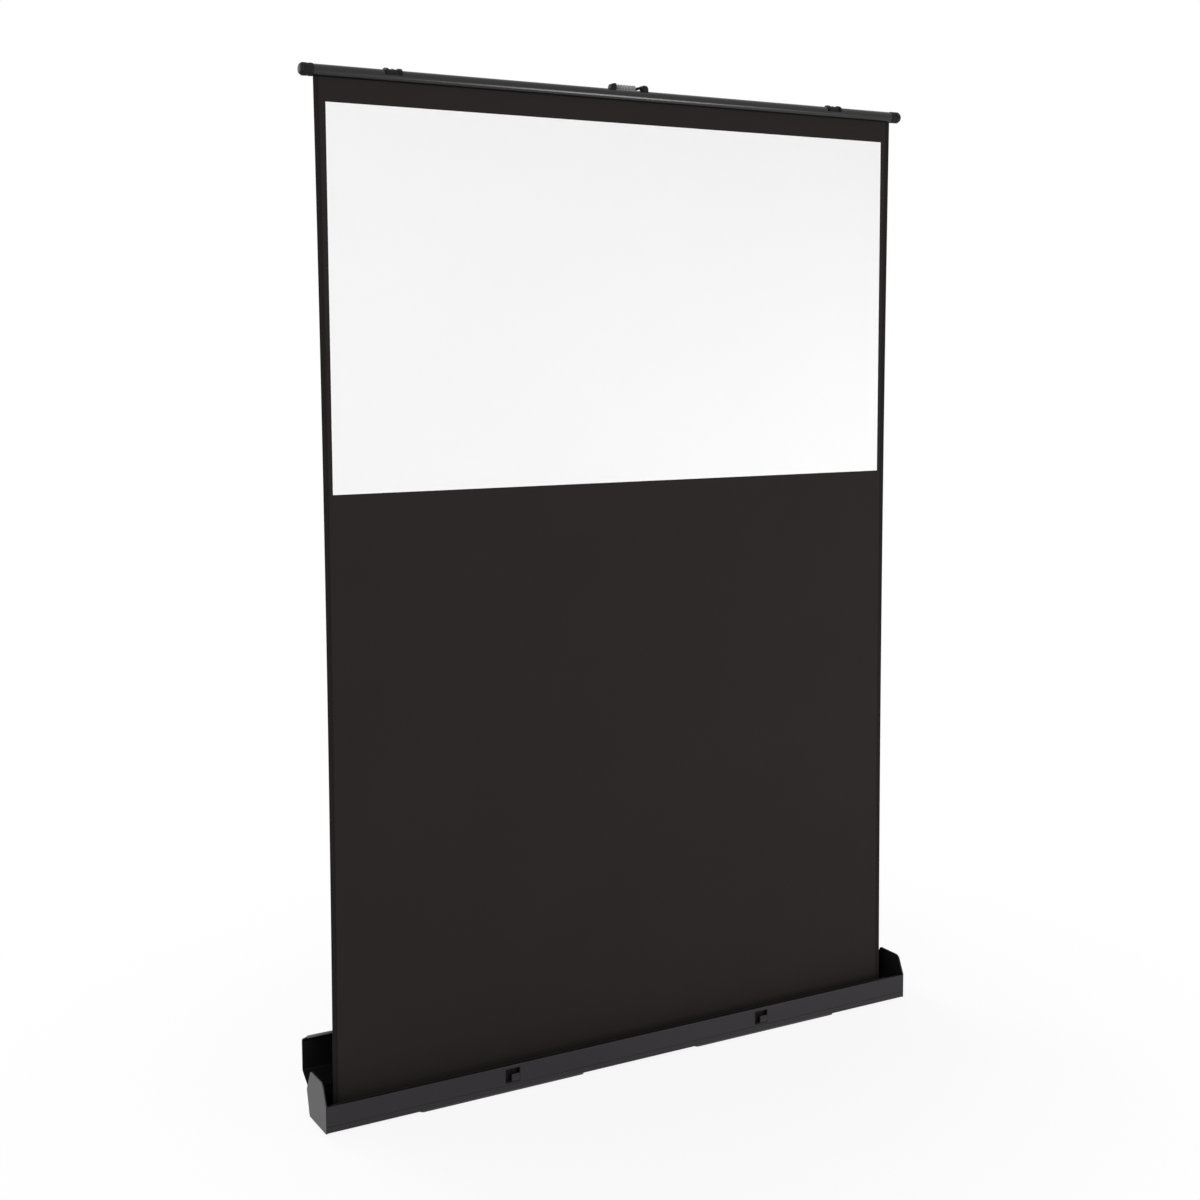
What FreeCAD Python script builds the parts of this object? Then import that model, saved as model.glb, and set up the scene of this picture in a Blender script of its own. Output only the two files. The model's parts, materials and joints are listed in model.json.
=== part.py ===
import FreeCAD, Part
import math
import os
import Sketcher
from FreeCAD import Placement, Rotation, Vector

# A pull-up floor projection screen. The floor case holds a sprung roller, two folding arms stand
# behind the fabric and carry the top bar, and a lid hinged at the back closes the case.
# Millimetres. X runs to the right seen from the front, Y to the back, Z up. The origin lies on the
# floor under the middle of the case with its lid open.

SIZES = {
    # case and lid
    "case_overhang": 34.0,        # fabric edge to the outside of an end plate
    "plate_thick": 3.0,           # end plates
    "case_front": 50.0,           # fabric to the face of the front wall
    "front_height": 54.0,
    "floor_back": 44.0,           # fabric to the back edge of the case floor
    "hinge_back": 58.0,           # fabric to the hinge line
    "hinge_height": 52.0,
    "wall": 2.0,
    "front_lip": 6.0,
    "groove_height": 13.0,        # shadow groove along the front wall
    "groove_depth": 0.8,
    "lid_back_run": 24.0,         # closed lid: hinge line to the back top corner, along Y
    "lid_rise": 36.0,             # closed lid: hinge line to its top face
    "lid_top": 66.0,              # width of the lid's top face
    "lid_front_run": 18.0,
    "lid_skirt": 34.0,
    "lid_gap": 1.0,               # lid end to end plate
    "lid_radius": 8.0,
    "bead_radius": 3.0,
    "bead_clearance": 0.1,
    "socket_wall": 1.8,
    "mouth_turn": 65.0,           # half angle of the hinge socket's mouth
    "plate_proud": 9.0,           # end plate above the lid
    "plate_radius": 14.0,
    "plug_depth": 8.0,
    "plug_wall": 3.0,
    # feet
    "foot_length": 380.0,
    "foot_width": 88.0,
    "foot_thick": 3.5,
    "foot_inset": 393.0,          # case end to the middle of a foot
    "foot_gap": 0.3,
    "pad_thick": 1.0,
    "pad_length": 60.0,
    "bolt_radius": 5.0,
    "bolt_head_radius": 9.0,
    "bolt_head": 1.4,
    "bolt_end": 2.0,
    # fabric
    "fabric_y": -22.0,            # fabric plane behind the origin
    "fabric_thick": 0.8,
    "field_width": 1330.0,
    "field_height": 748.0,
    "top_border": 46.0,
    "side_border": 24.0,
    "edge_draw": 5.0,             # pull-in of the stretched side edges
    # top bar
    "bar_height": 2065.0,         # floor to the bar's axis
    "bar_radius": 11.5,
    "bar_wall": 1.5,
    "bar_gap": 4.0,               # end cap to end plate when lowered
    "hem_slot": 1.6,
    "spline_radius": 3.0,
    "cap_length": 26.0,
    "cap_radius": 12.5,
    "cap_round": 4.0,
    "cap_plug": 18.0,
    # roller
    "roller_radius": 15.0,
    "roller_wall": 1.5,
    "roller_height": 30.0,
    "roller_gap": 24.0,           # roller end to end plate
    "turns_thick": 1.5,           # turns of fabric left on the roller
    "roll_gap": 0.3,
    "roller_plug": 12.0,
    "spindle_radius": 5.0,
    "spring_radius": 8.0,
    "spring_length": 320.0,
    "bracket_thick": 3.0,
    "bracket_width": 30.0,
    "bracket_top": 12.0,
    # arms
    "pivot_inset": 195.0,         # case end to the arm pivots
    "pivot_height": 39.0,
    "pivot_drop": 28.0,           # bar axis to the top pivots
    "elbow_in": 289.0,            # arm pivots to the elbow at rest, sideways
    "arm_radius": 12.0,           # half the arm's depth
    "arm_thick": 6.0,
    "channel_depth": 3.5,
    "channel_radius": 8.5,
    "channel_end": 34.0,          # pivot to the end of the channel
    "ear_thick": 2.5,
    "ear_gap": 2.5,               # fabric plane to the nearest ear
    "layer_gap": 0.5,
    "stack_gap": 1.0,
    "pin_radius": 5.0,
    "pin_clearance": 0.08,
    "open_clearance": 0.35,       # play at the open top pivot on the right
    "pin_head": 1.2,
    "pin_head_radius": 8.0,
    "base_width": 44.0,
    "base_flange": 14.0,
    "saddle_width": 34.0,
    "saddle_wall": 1.5,
    "saddle_rib": 6.0,
    "saddle_rib_wall": 3.5,
    # handle
    "handle_span": 90.0,
    "block_width": 13.0,
    "block_height": 11.0,
    "block_depth": 16.0,
    "bail_reach": 18.0,
    "bail_radius": 3.0,
    "grip_radius": 7.0,
    "grip_collar": 4.0,
    "grip_waist": 0.8,
    # latches
    "latch_inset": 410.0,         # case end to the middle of a latch
    "latch_width": 36.0,
    "latch_height": 32.0,
    "latch_rise": 16.0,           # case underside to the recess
    "latch_depth": 9.0,
    "latch_wall": 1.5,
    "lever_left": 16.0,           # dark gap beside the lever
    "lever_drop": 14.0,           # dark gap above the lever
    "lever_thick": 3.0,
    "lever_gap": 0.4,
    "strike_width": 30.0,
    "strike_height": 16.0,
    "strike_thick": 1.5,
}


class Dim:
    """A size together with the spreadsheet expression that gives it."""

    def __init__(self, value, expr):
        self.value = float(value)
        self.expr = expr

    @staticmethod
    def of(other):
        return other if isinstance(other, Dim) else Dim(other, repr(float(other)))

    def join(self, other, sign, value):
        return Dim(value, f"({self.expr} {sign} {Dim.of(other).expr})")

    def __add__(self, other):
        return self.join(other, "+", self.value + Dim.of(other).value)

    def __sub__(self, other):
        return self.join(other, "-", self.value - Dim.of(other).value)

    def __mul__(self, other):
        return self.join(other, "*", self.value * Dim.of(other).value)

    def __truediv__(self, other):
        return self.join(other, "/", self.value / Dim.of(other).value)

    def __radd__(self, other):
        return Dim.of(other) + self

    def __rsub__(self, other):
        return Dim.of(other) - self

    def __rmul__(self, other):
        return Dim.of(other) * self

    def __neg__(self):
        return Dim.of(0) - self

    def root(self):
        return Dim(math.sqrt(self.value), f"sqrt({self.expr})")


class Sheet:
    """The document's sizes as Dim values, one attribute for each alias."""

    def __init__(self, document):
        sheet = document.addObject("Spreadsheet::Sheet", "Sizes")
        for row, (alias, number) in enumerate(SIZES.items(), start=1):
            sheet.set(f"A{row}", alias)
            sheet.set(f"B{row}", repr(number))
            sheet.setAlias(f"B{row}", alias)
            setattr(self, alias, Dim(number, f"Sizes.{alias}"))


doc = FreeCAD.newDocument("ProjectionScreen")
S = Sheet(doc)
doc.recompute()
pieces = []

FULL_TURN = 360.0


def bind(item, name, size):
    item.setExpression(name, Dim.of(size).expr)


def place(item, x=0, y=0, z=0, axis=None, degrees=0.0):
    """Turns a piece and ties its place to the sheet."""
    if axis is not None:
        item.Placement = Placement(Vector(), Rotation(axis, degrees))
    for letter, size in zip("xyz", (x, y, z)):
        bind(item, f"Placement.Base.{letter}", size)
    return item


def keep(item, label):
    item.Label = label
    pieces.append(item)
    return item


def new_body(label):
    return keep(doc.addObject("PartDesign::Body", label + "_body"), label)


def new_sketch(body, plane):
    sketch = body.newObject("Sketcher::SketchObject", "Profile")
    support = next(item for item in body.Origin.OriginFeatures if item.Role == plane)
    sketch.AttachmentSupport = (support, [""])
    sketch.MapMode = "FlatFace"
    return sketch


def hold_point(sketch, geometry, end, point):
    """Ties one point of the sketch to its two coordinates."""
    for kind, size in zip(("DistanceX", "DistanceY"), point):
        size = Dim.of(size)
        index = sketch.addConstraint(Sketcher.Constraint(kind, -1, 1, geometry, end, size.value))
        sketch.setExpression(f"Constraints[{index}]", size.expr)


def draw_polygon(sketch, points):
    first = sketch.GeometryCount
    count = len(points)
    flat = [Vector(Dim.of(u).value, Dim.of(v).value, 0) for u, v in points]
    for i in range(count):
        sketch.addGeometry(Part.LineSegment(flat[i], flat[(i + 1) % count]), False)
    for i in range(count):
        join = Sketcher.Constraint("Coincident", first + i, 2, first + (i + 1) % count, 1)
        sketch.addConstraint(join)
    for i, point in enumerate(points):
        hold_point(sketch, first + i, 1, point)


def draw_circle(sketch, centre, radius):
    radius = Dim.of(radius)
    middle = Vector(Dim.of(centre[0]).value, Dim.of(centre[1]).value, 0)
    index = sketch.addGeometry(Part.Circle(middle, Vector(0, 0, 1), radius.value), False)
    hold_point(sketch, index, 3, centre)
    size = sketch.addConstraint(Sketcher.Constraint("Radius", index, radius.value))
    sketch.setExpression(f"Constraints[{size}]", radius.expr)


def draw_slot(sketch, start, length, radius):
    """A round-ended bar that starts at the given distance along the sketch's X axis."""
    start, length, radius = Dim.of(start), Dim.of(length), Dim.of(radius)
    first = sketch.GeometryCount
    a, b, r = start.value, start.value + length.value, radius.value
    up, half = Vector(0, 0, 1), math.pi / 2
    sketch.addGeometry(Part.LineSegment(Vector(a, -r, 0), Vector(b, -r, 0)), False)
    sketch.addGeometry(Part.ArcOfCircle(Part.Circle(Vector(b, 0, 0), up, r), -half, half), False)
    sketch.addGeometry(Part.LineSegment(Vector(b, r, 0), Vector(a, r, 0)), False)
    sketch.addGeometry(Part.ArcOfCircle(Part.Circle(Vector(a, 0, 0), up, r), half, 3 * half), False)
    for i in range(4):
        sketch.addConstraint(Sketcher.Constraint("Tangent", first + i, 2, first + (i + 1) % 4, 1))
    sketch.addConstraint(Sketcher.Constraint("PointOnObject", first + 1, 3, -1))
    hold_point(sketch, first + 3, 3, (start, 0))
    far = Sketcher.Constraint("DistanceX", first + 3, 3, first + 1, 3, length.value)
    sketch.setExpression(f"Constraints[{sketch.addConstraint(far)}]", length.expr)
    size = sketch.addConstraint(Sketcher.Constraint("Radius", first + 3, r))
    sketch.setExpression(f"Constraints[{size}]", radius.expr)


def pad(body, sketch, length, side="One side", backwards=False):
    feature = body.newObject("PartDesign::Pad", "Pad")
    feature.Profile = sketch
    feature.SideType = side
    feature.Reversed = backwards
    bind(feature, "Length", length)
    doc.recompute()
    return feature


def pocket(body, sketch, length=None, side="One side", backwards=False):
    """Cuts a profile out of the body, right through where no depth is given."""
    before = body.Shape.Volume
    feature = body.newObject("PartDesign::Pocket", "Pocket")
    feature.Profile = sketch
    feature.SideType = side
    feature.Reversed = backwards
    if length is None:
        feature.Type = "ThroughAll"
        feature.SideType = "Symmetric"
    else:
        bind(feature, "Length", length)
    doc.recompute()
    if body.Shape.Volume > before - 1e-6:
        raise RuntimeError(f"{body.Label}: a cut removes nothing")
    return feature


def round_edges(body, radius, chosen):
    """Fillets the edges whose middle the chooser accepts."""
    base = body.Tip
    names = [f"Edge{i}" for i, edge in enumerate(base.Shape.Edges, start=1)
             if chosen(edge.CenterOfMass, edge)]
    if not names:
        raise RuntimeError(f"{body.Label}: no edge to round")
    feature = body.newObject("PartDesign::Fillet", "Fillet")
    feature.Base = (base, names)
    bind(feature, "Radius", radius)
    doc.recompute()
    return feature


def near(edge_middle, u, v, axes="yz"):
    """True for an edge that runs through the given point of a profile."""
    gap_u = getattr(edge_middle, axes[0]) - Dim.of(u).value
    gap_v = getattr(edge_middle, axes[1]) - Dim.of(v).value
    return math.hypot(gap_u, gap_v) < 0.01


def revolve(body, sketch, axis):
    feature = body.newObject("PartDesign::Revolution", "Revolution")
    feature.Profile = sketch
    feature.ReferenceAxis = (sketch, [axis])
    feature.Angle = FULL_TURN
    doc.recompute()
    return feature


def turned(label, outline):
    """A turned piece: the outline holds (radius, distance along the axis); the axis is local Z."""
    body = new_body(label)
    sketch = new_sketch(body, "XZ_Plane")
    draw_polygon(sketch, outline)
    revolve(body, sketch, "V_Axis")
    return body


def extruded(label, points, length, plane="YZ_Plane", side="Symmetric"):
    body = new_body(label)
    sketch = new_sketch(body, plane)
    draw_polygon(sketch, points)
    pad(body, sketch, length, side)
    return body


SIDES = (("left", -1), ("right", 1))
X_AXIS, Y_AXIS, Z_AXIS = Vector(1, 0, 0), Vector(0, 1, 0), Vector(0, 0, 1)
RIGHT_ANGLE = 90.0


def cosine(angle):
    return Dim(math.cos(math.radians(angle.value)), f"cos({angle.expr} * 1 deg)")


def sine(angle):
    return Dim(math.sin(math.radians(angle.value)), f"sin({angle.expr} * 1 deg)")


# Places that several pieces share. Depths are counted from the fabric plane.
under_z = S.pad_thick + S.foot_thick + S.foot_gap
fabric_half = S.field_width / 2 + S.side_border
case_length = 2 * (fabric_half + S.case_overhang)
trough_length = case_length - 2 * S.plate_thick
bar_length = trough_length - 2 * S.bar_gap
roller_length = trough_length - 2 * S.roller_gap
pivot_spacing = case_length - 2 * S.pivot_inset
foot_spacing = case_length - 2 * S.foot_inset
latch_spacing = case_length - 2 * S.latch_inset
floor_z = under_z + S.wall
hinge_y = S.fabric_y + S.hinge_back
hinge_z = under_z + S.hinge_height
socket_bore = S.bead_radius + S.bead_clearance
socket_radius = socket_bore + S.socket_wall
foot_y = S.fabric_y + (S.floor_back - S.case_front) / 2

roller_back = S.roller_radius + S.turns_thick + S.roll_gap + S.fabric_thick / 2
roller_y = S.fabric_y - roller_back
fabric_top = S.bar_height - (S.bar_radius - S.bar_wall)
field_top = S.bar_height - S.bar_radius - S.top_border

# Arms: each reaches up and inwards from its foot to the elbow, and back out to the bar.
rise = S.bar_height - S.pivot_drop - S.pivot_height
arm_up = rise / 2
arm_in = S.elbow_in
arm_length = (arm_up * arm_up + arm_in * arm_in).root()
arm_lean = math.degrees(math.atan2(arm_up.value, arm_in.value))
top_z = S.bar_height - S.pivot_drop
elbow_z = S.pivot_height + arm_up
pivot_bore = S.pin_radius + S.pin_clearance
stack_depth = 2 * S.arm_thick + 2 * S.ear_thick + 3 * S.layer_gap
ear_depth = {"right": S.ear_gap, "left": S.ear_gap + stack_depth + S.stack_gap}


def case_trough():
    front, back = -S.case_front, S.floor_back
    lean = (S.hinge_back - S.floor_back) * S.wall / S.hinge_height
    body = extruded("case_trough", [
        (front, 0), (back, 0), (S.hinge_back, S.hinge_height),
        (S.hinge_back - S.wall, S.hinge_height), (back + lean - S.wall, S.wall),
        (front + S.wall, S.wall), (front + S.wall, S.front_height - S.wall),
        (front + S.front_lip, S.front_height - S.wall), (front + S.front_lip, S.front_height),
        (front, S.front_height), (front, S.groove_height + S.groove_depth),
        (front + S.groove_depth, S.groove_height), (front, S.groove_height - S.groove_depth)],
        trough_length)
    # The hinge is rolled into the back wall: a socket open towards the lid's swing.
    hinge = (S.hinge_back, S.hinge_height)
    ring = new_sketch(body, "YZ_Plane")
    draw_circle(ring, hinge, socket_radius)
    pad(body, ring, trough_length, "Symmetric")
    bore = new_sketch(body, "YZ_Plane")
    draw_circle(bore, hinge, socket_bore)
    pocket(body, bore)
    reach = 2 * socket_radius
    neck = ((S.lid_rise * S.lid_rise + S.lid_back_run * S.lid_back_run) * 2).root()
    mid_y = (S.lid_rise - S.lid_back_run) / neck
    mid_z = (S.lid_rise + S.lid_back_run) / neck
    turn_c, turn_s = cosine(S.mouth_turn), sine(S.mouth_turn)
    mouth = new_sketch(body, "YZ_Plane")
    draw_polygon(mouth, [
        hinge,
        (hinge[0] + reach * (mid_y * turn_c + mid_z * turn_s),
         hinge[1] + reach * (mid_z * turn_c - mid_y * turn_s)),
        (hinge[0] + reach * mid_y, hinge[1] + reach * mid_z),
        (hinge[0] + reach * (mid_y * turn_c - mid_z * turn_s),
         hinge[1] + reach * (mid_z * turn_c + mid_y * turn_s))])
    pocket(body, mouth)
    # Windows for the two latches in the front wall.
    windows = new_sketch(body, "XZ_Plane")
    for _, sign in SIDES:
        low = sign * latch_spacing / 2 - S.latch_width / 2
        draw_polygon(windows, [
            (low, S.latch_rise), (low + S.latch_width, S.latch_rise),
            (low + S.latch_width, S.latch_rise + S.latch_height),
            (low, S.latch_rise + S.latch_height)])
    pocket(body, windows, S.case_front + S.wall, backwards=True)
    # Holes for the bolts on which the feet turn.
    holes = new_sketch(body, "XY_Plane")
    for _, sign in SIDES:
        draw_circle(holes, (sign * foot_spacing / 2, foot_y - S.fabric_y), S.bolt_radius)
    pocket(body, holes, S.wall, backwards=True)
    front_corner = (front, 0)
    round_edges(body, S.wall, lambda middle, edge: near(middle, *front_corner)
                or near(middle, front, S.front_height))
    place(body, 0, S.fabric_y, under_z)


def end_plates():
    lid_top_z = S.hinge_height + S.lid_rise
    top = lid_top_z + S.plate_proud
    back_top = (S.hinge_back - S.lid_back_run, top)
    front_top = (back_top[0] - S.lid_top, top)
    outline = [(-S.case_front, 0), (S.floor_back, 0), (S.hinge_back, S.hinge_height), back_top,
               front_top, (-S.case_front, S.front_height + S.wall)]
    inset = S.wall + S.pin_clearance
    deep = inset + S.plug_wall
    plug_top = S.front_height - S.wall - S.pin_clearance
    rim_top = plug_top - S.plug_depth
    lean = (S.hinge_back - S.floor_back) / S.hinge_height
    plug_back = (S.floor_back - inset) + lean * inset
    rim = [(-S.case_front + inset, inset), (plug_back, inset),
           (plug_back + lean * (rim_top - inset), rim_top),
           (plug_back + lean * (rim_top - inset) - S.plug_wall, rim_top),
           (plug_back - S.plug_wall, deep), (-S.case_front + deep, deep),
           (-S.case_front + deep, plug_top), (-S.case_front + inset, plug_top)]
    for side, sign in SIDES:
        body = new_body(f"end_plate_{side}")
        sketch = new_sketch(body, "YZ_Plane")
        draw_polygon(sketch, outline)
        pad(body, sketch, S.plate_thick, backwards=sign < 0)
        round_edges(body, S.plate_radius, lambda middle, edge: near(middle, *front_top))
        round_edges(body, S.plate_radius / 2, lambda middle, edge: near(middle, *back_top))
        # A rim inside the trough holds the plate square.
        plug = new_sketch(body, "YZ_Plane")
        draw_polygon(plug, rim)
        pad(body, plug, S.plug_depth, backwards=sign > 0)
        place(body, sign * trough_length / 2, S.fabric_y, under_z)


def feet():
    plate_z = S.pad_thick
    sunk = S.bolt_head + S.foot_gap
    for side, sign in SIDES:
        x = sign * foot_spacing / 2
        body = new_body(f"foot_{side}")
        sketch = new_sketch(body, "XY_Plane")
        half_l, half_w = S.foot_length / 2, S.foot_width / 2
        draw_polygon(sketch, [(-half_l, -half_w), (half_l, -half_w), (half_l, half_w),
                              (-half_l, half_w)])
        draw_circle(sketch, (0, 0), S.bolt_radius + S.pin_clearance)
        pad(body, sketch, S.foot_thick)
        seat = new_sketch(body, "XY_Plane")
        draw_circle(seat, (0, 0), S.bolt_head_radius + S.foot_gap)
        pocket(body, seat, sunk, backwards=True)
        corners = [(i * S.foot_length.value / 2, j * S.foot_width.value / 2)
                   for i in (-1, 1) for j in (-1, 1)]
        round_edges(body, S.bolt_head_radius, lambda middle, edge: any(
            near(middle, u, v, "xy") for u, v in corners))
        place(body, x, foot_y, plate_z)
        for end, shift in (("outer", sign), ("inner", -sign)):
            sole = doc.addObject("Part::Box", f"sole_{side}_{end}")
            bind(sole, "Length", S.pad_length)
            bind(sole, "Width", S.foot_width - 2 * S.bolt_head_radius)
            bind(sole, "Height", S.pad_thick)
            along = shift * (S.foot_length / 2 - S.pad_length / 2 - S.bolt_head_radius)
            place(sole, x + along - S.pad_length / 2,
                  foot_y - S.foot_width / 2 + S.bolt_head_radius, 0)
            keep(sole, f"foot_pad_{side}_{end}")
        low = S.foot_gap
        shank = low + S.bolt_head
        top = floor_z - plate_z
        bolt = turned(f"foot_bolt_{side}", [
            (0, low), (S.bolt_head_radius, low), (S.bolt_head_radius, shank),
            (S.bolt_radius, shank), (S.bolt_radius, top + S.bolt_end), (0, top + S.bolt_end)])
        place(bolt, x, foot_y, plate_z)


def lid():
    run, up, top = S.lid_back_run, S.lid_rise, S.lid_top
    back = (run * run + up * up).root()
    skirt = (S.lid_front_run * S.lid_front_run + S.lid_skirt * S.lid_skirt).root()
    half = S.wall / 2
    lid_length = trough_length - 2 * S.lid_gap
    back_in = S.wall * back / up
    skirt_in = S.wall * skirt / S.lid_skirt
    corner = (-run, up)
    front = (-run - top, up)
    edge_point = (-run - top - S.lid_front_run, up - S.lid_skirt)
    inner_front = (front[0] - S.lid_front_run * S.wall / S.lid_skirt + skirt_in, up - S.wall)
    inner_corner = (-run * (up - S.wall) / up - back_in, up - S.wall)
    shell = extruded("lid_shell", [
        (half * up / back, half * run / back), corner, front, edge_point,
        (edge_point[0] + skirt_in, edge_point[1]), inner_front, inner_corner,
        (-half * up / back, -half * run / back)], lid_length)
    bead = new_sketch(shell, "YZ_Plane")
    draw_circle(bead, (0, 0), S.bead_radius)
    pad(shell, bead, lid_length, "Symmetric")
    round_edges(shell, S.lid_radius, lambda middle, edge: near(middle, *corner)
                or near(middle, *front))
    round_edges(shell, S.lid_radius - S.wall, lambda middle, edge: near(middle, *inner_corner)
                or near(middle, *inner_front))
    place(shell, 0, hinge_y, hinge_z, X_AXIS, -RIGHT_ANGLE)
    # Strikes for the latches sit on the inside of the lid's front skirt.
    tilt = math.degrees(math.atan2(S.lid_front_run.value, S.lid_skirt.value))
    lift = S.strike_thick * 2
    seat_y = edge_point[0] + skirt_in + lift * S.lid_front_run / skirt
    seat_z = edge_point[1] + lift * S.lid_skirt / skirt
    for side, sign in SIDES:
        strike = doc.addObject("Part::Box", f"strike_{side}")
        bind(strike, "Length", S.strike_width)
        bind(strike, "Width", S.strike_thick)
        bind(strike, "Height", S.strike_height)
        place(strike, sign * latch_spacing / 2 - S.strike_width / 2, hinge_y + seat_z,
              hinge_z - seat_y, X_AXIS, -RIGHT_ANGLE - tilt)
        keep(strike, f"lid_strike_{side}")


def latches():
    gap = S.pin_clearance
    cup_w = S.latch_width - 2 * gap
    cup_h = S.latch_height - 2 * gap
    face_y = S.fabric_y - S.case_front
    low_z = under_z + S.latch_rise + gap
    lever_w = cup_w - S.latch_wall - S.lever_left - S.lever_gap
    lever_h = cup_h - S.latch_wall - S.lever_gap - S.lever_drop
    axle = S.lever_thick / 2
    axle_bore = S.lever_thick / 4
    for side, sign in SIDES:
        left = sign * latch_spacing / 2 - S.latch_width / 2 + gap
        cup = new_body(f"latch_cup_{side}")
        block = new_sketch(cup, "XZ_Plane")
        draw_polygon(block, [(0, 0), (cup_w, 0), (cup_w, cup_h), (0, cup_h)])
        pad(cup, block, S.latch_depth, backwards=True)
        hollow = new_sketch(cup, "XZ_Plane")
        w = S.latch_wall
        draw_polygon(hollow, [(w, w), (cup_w - w, w), (cup_w - w, cup_h - w), (w, cup_h - w)])
        pocket(cup, hollow, S.latch_depth - S.latch_wall)
        axle_z = S.latch_wall + S.lever_gap + axle
        holes = new_sketch(cup, "YZ_Plane")
        draw_circle(holes, (axle, axle_z), axle_bore)
        pocket(cup, holes)
        place(cup, left, face_y, low_z)
        lever = extruded(f"latch_lever_{side}", [
            (-axle, -axle), (axle, -axle), (axle, lever_h - axle), (-axle, lever_h - axle)],
            lever_w, side="One side")
        bore = new_sketch(lever, "YZ_Plane")
        draw_circle(bore, (0, 0), axle_bore + gap)
        pocket(lever, bore)
        round_edges(lever, axle * 0.95, lambda middle, edge: near(middle, -axle, -axle)
                    or near(middle, axle, -axle))
        place(lever, left + S.lever_left, face_y + axle, low_z + axle_z)
        pin = doc.addObject("Part::Cylinder", f"latch_pin_{side}")
        bind(pin, "Radius", axle_bore)
        bind(pin, "Height", cup_w)
        place(pin, left, face_y + axle, low_z + axle_z, Y_AXIS, RIGHT_ANGLE)
        keep(pin, f"latch_pin_{side}")


def roller():
    tube_in = S.roller_radius - S.roller_wall
    half = roller_length / 2

    def ring(label, outer, inner, length, start):
        body = new_body(label)
        sketch = new_sketch(body, "YZ_Plane")
        draw_circle(sketch, (0, 0), outer)
        if inner is not None:
            draw_circle(sketch, (0, 0), inner)
        pad(body, sketch, length)
        place(body, start, roller_y, S.roller_height)

    ring("roller_tube", S.roller_radius, tube_in, roller_length, -half)
    ring("fabric_roll", S.roller_radius + S.turns_thick, S.roller_radius, 2 * fabric_half,
         -fabric_half)
    spindle_bore = S.spindle_radius + S.pin_clearance
    ring("roller_plug_left", tube_in, spindle_bore, S.roller_plug, -half)
    ring("roller_plug_right", tube_in, spindle_bore, S.roller_plug, half - S.roller_plug)
    ring("torsion_spring", S.spring_radius, S.spindle_radius, S.spring_length,
         -half + S.roller_plug + S.layer_gap)
    reach = half + S.layer_gap + S.bracket_thick
    ring("roller_spindle", S.spindle_radius, None, 2 * reach, -reach)
    up = S.roller_height - floor_z
    for side, sign in SIDES:
        body = new_body(f"roller_bracket_{side}")
        sketch = new_sketch(body, "YZ_Plane")
        foot, head = S.bracket_width / 2, S.bracket_top
        draw_polygon(sketch, [(-foot, -up), (foot, -up), (head, S.bracket_top),
                              (-head, S.bracket_top)])
        draw_circle(sketch, (0, 0), S.spindle_radius)
        pad(body, sketch, S.bracket_thick, backwards=sign < 0)
        round_edges(body, S.bracket_top / 2, lambda middle, edge: near(middle, head, head)
                    or near(middle, -head, head))
        place(body, sign * (half + S.layer_gap), roller_y, S.roller_height)


def arm(label, x, depth, z, lean, far_bore):
    """One arm: a round-ended channel bar with a pivot hole at each end."""
    body = new_body(label)
    sketch = new_sketch(body, "XZ_Plane")
    draw_slot(sketch, 0, arm_length, S.arm_radius)
    draw_circle(sketch, (0, 0), pivot_bore)
    draw_circle(sketch, (arm_length, 0), far_bore)
    pad(body, sketch, S.arm_thick, backwards=True)
    channel = new_sketch(body, "XZ_Plane")
    bind(channel, "AttachmentOffset.Base.z", -S.arm_thick)
    draw_slot(channel, S.channel_end, arm_length - 2 * S.channel_end, S.channel_radius)
    pocket(body, channel, S.channel_depth, backwards=True)
    place(body, x, S.fabric_y + depth, z, Y_AXIS, lean)


def pin(label, x, depth, z, length, head_behind=True):
    if head_behind:
        outline = [(0, 0), (S.pin_radius, 0), (S.pin_radius, length),
                   (S.pin_head_radius, length), (S.pin_head_radius, length + S.pin_head),
                   (0, length + S.pin_head)]
    else:
        outline = [(0, -S.pin_head), (S.pin_head_radius, -S.pin_head), (S.pin_head_radius, 0),
                   (S.pin_radius, 0), (S.pin_radius, length), (0, length)]
    body = turned(label, outline)
    place(body, x, S.fabric_y + depth, z, X_AXIS, -RIGHT_ANGLE)


def arms():
    pair = 2 * S.arm_thick + S.layer_gap
    for side, sign in SIDES:
        x = sign * pivot_spacing / 2
        elbow_x = x - sign * arm_in
        upper = ear_depth[side] + S.ear_thick + S.layer_gap
        lower = upper + S.arm_thick + S.layer_gap
        base = lower + S.arm_thick + S.layer_gap
        inwards = -arm_lean if sign < 0 else arm_lean - 2 * RIGHT_ANGLE
        outwards = arm_lean - 2 * RIGHT_ANGLE if sign < 0 else -arm_lean
        top_bore = pivot_bore if sign < 0 else S.pin_radius + S.open_clearance
        arm(f"lower_arm_{side}", x, lower, S.pivot_height, inwards, S.pin_radius)
        arm(f"upper_arm_{side}", elbow_x, upper, elbow_z, outwards, top_bore)
        pin(f"elbow_pin_{side}", elbow_x, upper, elbow_z, pair)
        pin(f"base_pin_{side}", x, lower, S.pivot_height,
            S.arm_thick + S.layer_gap + S.ear_thick)
        pin(f"top_pin_{side}", x, ear_depth[side], top_z,
            S.ear_thick + S.layer_gap + S.arm_thick, head_behind=False)
        arm_base(f"arm_base_{side}", x, base, sign)


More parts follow.
